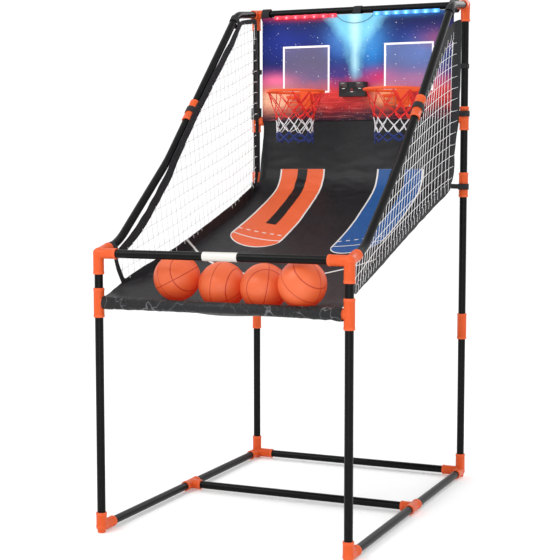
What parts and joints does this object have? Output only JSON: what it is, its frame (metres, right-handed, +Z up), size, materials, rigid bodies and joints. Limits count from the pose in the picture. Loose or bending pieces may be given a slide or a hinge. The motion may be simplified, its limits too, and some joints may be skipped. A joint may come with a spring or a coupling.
{
  "type": "basketball hoop machine",
  "caption": "Free-standing toy basketball machine: push-fit tube frame, printed backboard with twin hoops, side nets and a fabric ramp that returns the balls to a front trough.",
  "frame": {"origin": "on the floor, under the middle of the tube frame", "axes": "+Z up, +Y from the player towards the backboard, +X to the player's right"},
  "size_m": [0.7714, 1.0934, 1.5607],
  "materials": {
    "black_tube": "satin black powder coat",
    "orange_fitting": "moulded, satin",
    "black_fabric": "woven polyester, slight sheen",
    "net_cord": "white cord with black tape border",
    "printed_board": "printed sheet, satin",
    "orange_hoop": "moulded",
    "hoop_net": "red, white and blue cord",
    "ball_rubber": "pebbled, satin",
    "black_case": "moulded",
    "circuit": "printed circuit",
    "white_button": "moulded",
    "led_red": "emissive red domes on a dark strip",
    "led_blue": "emissive light blue domes on a dark strip"
  },
  "bodies": {
    "frame": {"foot_elbow_left": "orange_fitting", "rear_base_corner_left": "orange_fitting", "base_tee_left": "orange_fitting", "base_side_rail_left": "black_tube", "front_leg_left": "black_tube", "front_tee_left": "orange_fitting", "front_corner_left": "orange_fitting", "coupler_a_left": "orange_fitting", "coupler_b_left": "orange_fitting", "board_tee_left": "orange_fitting", "top_corner_left": "orange_fitting", "rear_leg_left": "black_tube", "rear_mid_post_left": "black_tube", "rear_top_post_left": "black_tube", "arm_lower_left": "black_tube", "arm_upper_left": "black_tube", "arm_coupler_left": "orange_fitting", "foot_elbow_right": "orange_fitting", "rear_base_corner_right": "orange_fitting", "base_tee_right": "orange_fitting", "base_side_rail_right": "black_tube", "front_leg_right": "black_tube", "front_tee_right": "orange_fitting", "front_corner_right": "orange_fitting", "coupler_a_right": "orange_fitting", "coupler_b_right": "orange_fitting", "board_tee_right": "orange_fitting", "top_corner_right": "orange_fitting", "rear_leg_right": "black_tube", "rear_mid_post_right": "black_tube", "rear_top_post_right": "black_tube", "arm_lower_right": "black_tube", "arm_upper_right": "black_tube", "arm_coupler_right": "orange_fitting", "base_mid_crossbar": "black_tube", "base_rear_crossbar": "black_tube", "handrail": "black_tube", "trough_bar": "black_tube", "board_bar": "black_tube", "top_bar": "black_tube", "ramp_fabric": "black_fabric", "side_net_left": "net_cord", "side_net_right": "net_cord", "backboard": "printed_board", "hoop_left": "orange_hoop", "hoop_right": "orange_hoop", "hoop_net_left": "hoop_net", "hoop_net_right": "hoop_net", "led_strip_left": "led_red", "led_strip_right": "led_blue", "scoreboard_case": "black_case", "circuit_board": "circuit"},
    "flap_left": {"scoring_flap_left": "orange_hoop"},
    "flap_right": {"scoring_flap_right": "orange_hoop"},
    "button": {"start_button": "white_button"},
    "door": {"battery_door": "black_case"},
    "ball_body_1": {"ball_1": "ball_rubber"},
    "ball_body_2": {"ball_2": "ball_rubber"},
    "ball_body_3": {"ball_3": "ball_rubber"},
    "ball_body_4": {"ball_4": "ball_rubber"}
  },
  "joints": [
    {"name": "flap_left_hinge", "type": "hinge", "parent": "frame", "child": "flap_left", "pos_m": [-0.2195, 0.4955, 1.2595], "axis": [1, 0, 0], "range_deg": [0, 15], "stiffness_Nm_per_rad": 0.02},
    {"name": "flap_right_hinge", "type": "hinge", "parent": "frame", "child": "flap_right", "pos_m": [0.1245, 0.4955, 1.2595], "axis": [1, 0, 0], "range_deg": [0, 15], "stiffness_Nm_per_rad": 0.02},
    {"name": "button_press", "type": "slide", "parent": "frame", "child": "button", "axis": [0, 1, 0], "range_m": [0, 0.0015], "stiffness_N_per_m": 300},
    {"name": "battery_door_pull", "type": "slide", "parent": "frame", "child": "door", "axis": [0, 0, -1], "range_m": [0, 0.06]},
    {"name": "ball_1_lift", "type": "slide", "parent": "frame", "child": "ball_body_1", "axis": [0, 0, 1], "range_m": [0, 0.9]},
    {"name": "ball_2_lift", "type": "slide", "parent": "frame", "child": "ball_body_2", "axis": [0, 0, 1], "range_m": [0, 0.9]},
    {"name": "ball_3_lift", "type": "slide", "parent": "frame", "child": "ball_body_3", "axis": [0, 0, 1], "range_m": [0, 0.9]},
    {"name": "ball_4_lift", "type": "slide", "parent": "frame", "child": "ball_body_4", "axis": [0, 0, 1], "range_m": [0, 0.9]}
  ]
}
